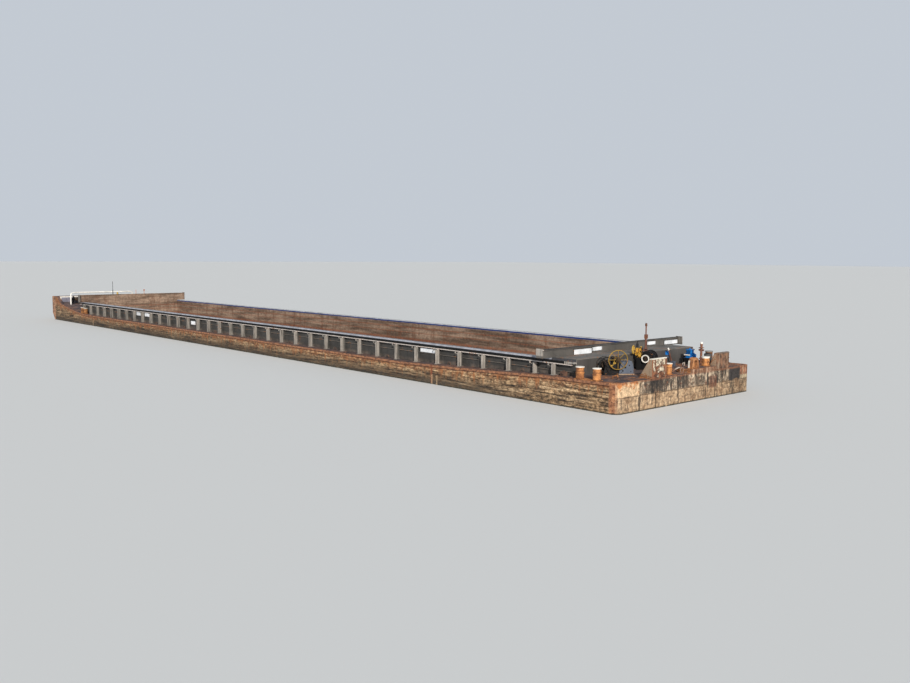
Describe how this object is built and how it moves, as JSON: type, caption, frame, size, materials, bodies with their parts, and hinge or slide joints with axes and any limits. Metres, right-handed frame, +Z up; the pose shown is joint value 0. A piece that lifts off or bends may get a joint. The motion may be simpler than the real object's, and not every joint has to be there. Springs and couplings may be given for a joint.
{
  "type": "river push barge with an open cargo hold, half-size (1:2) model",
  "caption": "Flat-bottomed steel push barge with raked bow, open hold with stayed coamings, push knees, bollards, deck winches and a folding mast, at half size.",
  "frame": {"origin": "centre of the length and the beam, on the flat bottom", "axes": "+X forward to the bow, +Y to port, +Z up"},
  "size_m": [38.25, 5.7, 3.605],
  "materials": {
    "hull": "worn ochre-brown paint with rust streaks",
    "coaming_grey": "weathered dark grey paint",
    "knee_paint": "chipped cream paint over rust",
    "rusty_steel": "orange-brown rust",
    "blue_grey": "light blue-grey paint",
    "machine_black": "greasy black paint",
    "yellow": "worn yellow paint",
    "blue": "bright blue paint",
    "mast_brown": "red-brown paint",
    "white_paint": "white paint"
  },
  "bodies": {
    "root": {"hull_bottom": "hull", "hull_side_port": "hull", "hull_side_starboard": "hull", "hull_stern": "hull", "hull_bow": "hull", "coaming_port": "coaming_grey", "coaming_starboard": "coaming_grey", "trunk_aft": "coaming_grey", "trunk_fore": "coaming_grey", "end_panel_aft": "coaming_grey", "end_panel_fore": "coaming_grey", "push_knee_port": "knee_paint", "push_knee_starboard": "rusty_steel", "bollards_stern_port": "rusty_steel", "bollards_stern_starboard": "rusty_steel", "bollard_stern_centre": "rusty_steel", "bollard_stern_knee": "rusty_steel", "bollards_bow_port": "rusty_steel", "bollards_bow_starboard": "rusty_steel", "fairlead": "rusty_steel", "mooring_eye": "rusty_steel", "port_winch_bed": "machine_black", "port_winch_gear_case": "blue_grey", "centre_winch_bed": "machine_black", "bow_winch_port_bed": "machine_black", "bow_winch_starboard_bed": "machine_black", "mast_foot": "mast_brown", "hatch_stern_frame": "coaming_grey", "hatch_bow_frame": "coaming_grey", "power_unit": "blue", "valve_post": "mast_brown", "ventilator": "coaming_grey", "deck_locker": "blue_grey", "switch_box": "blue_grey", "lever_post": "mast_brown", "bow_plate": "blue_grey", "bow_hoop": "white_paint", "antenna_mast": "machine_black"},
    "port_winch_drum": {"port_winch_drum": "machine_black"},
    "port_winch_handwheel": {"port_winch_handwheel": "yellow"},
    "centre_winch_drum": {"centre_winch_drum": "machine_black"},
    "centre_winch_brake_wheel": {"centre_winch_brake_wheel": "yellow"},
    "bow_winch_port_drum": {"bow_winch_port_drum": "machine_black"},
    "bow_winch_starboard_drum": {"bow_winch_starboard_drum": "machine_black"},
    "mast_top": {"mast_top": "mast_brown"},
    "hatch_stern_lid": {"hatch_stern_lid": "coaming_grey"},
    "hatch_bow_lid": {"hatch_bow_lid": "coaming_grey"}
  },
  "joints": [
    {"name": "port_winch_drum_spin", "type": "hinge", "parent": "root", "child": "port_winch_drum", "pos_m": [-17.81881, 1.58521, 2.42698], "axis": [-0.8192, 0.5736, 0], "continuous": true},
    {"name": "port_winch_handwheel_spin", "type": "hinge", "parent": "root", "child": "port_winch_handwheel", "pos_m": [-17.945, 1.405, 2.56448], "axis": [-0.8192, 0.5736, 0], "continuous": true},
    {"name": "centre_winch_drum_spin", "type": "hinge", "parent": "root", "child": "centre_winch_drum", "pos_m": [-17.87, -0.1, 2.47817], "axis": [-0.342, 0.9397, 0], "continuous": true},
    {"name": "centre_winch_brake_wheel_spin", "type": "hinge", "parent": "root", "child": "centre_winch_brake_wheel", "pos_m": [-17.7411, 0.27681, 2.68817], "axis": [0.9397, 0.342, 0], "continuous": true},
    {"name": "bow_winch_port_drum_spin", "type": "hinge", "parent": "root", "child": "bow_winch_port_drum", "pos_m": [17.775, 2, 2.62136], "axis": [0, 1, 0], "continuous": true},
    {"name": "bow_winch_starboard_drum_spin", "type": "hinge", "parent": "root", "child": "bow_winch_starboard_drum", "pos_m": [17.775, -2, 2.62136], "axis": [0, -1, 0], "continuous": true},
    {"name": "mast_fold", "type": "hinge", "parent": "root", "child": "mast_top", "pos_m": [-17.45, -0.52, 2.985], "axis": [0, 1, 0], "range_deg": [0, 90]},
    {"name": "hatch_stern_lid_hinge", "type": "hinge", "parent": "root", "child": "hatch_stern_lid", "pos_m": [-18.395, -2.14, 2.35087], "axis": [0, 1, 0], "range_deg": [0, 110]},
    {"name": "hatch_bow_lid_hinge", "type": "hinge", "parent": "root", "child": "hatch_bow_lid", "pos_m": [16.58, -0.8, 2.36891], "axis": [0, 1, 0], "range_deg": [0, 110]}
  ],
  "couplings": [
    {"joint": "port_winch_handwheel_spin", "follows": "port_winch_drum_spin", "ratio": -3.3333}
  ]
}
